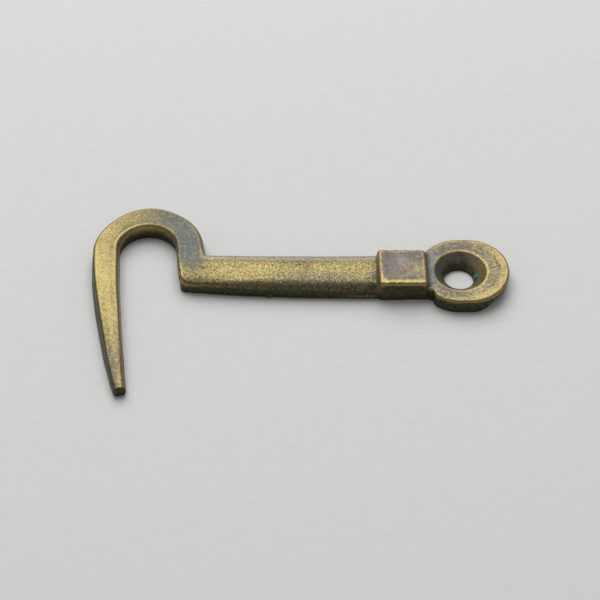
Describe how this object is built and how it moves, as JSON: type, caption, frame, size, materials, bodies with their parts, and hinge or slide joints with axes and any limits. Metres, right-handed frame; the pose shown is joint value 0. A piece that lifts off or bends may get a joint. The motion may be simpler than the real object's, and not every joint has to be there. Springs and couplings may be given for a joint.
{
  "type": "hook arm",
  "caption": "Cast brass cabin-hook arm: an oval eye with a countersunk pivot hole, a square boss, a round-topped shank and a hook that ends in a long tapering tine.",
  "frame": {"origin": "on the pivot hole's axis, in the plane of the flat back", "axes": "+Z out of the countersunk face along the pivot axis, the shank runs along -X from the eye, and the tine points along -Y"},
  "size_m": [0.0768, 0.0435, 0.0045],
  "materials": {
    "antique_brass": "aged, with dark patina in the hollows and rubbed edges"
  },
  "bodies": {
    "root": {"hook_arm": "antique_brass"}
  },
  "joints": []
}
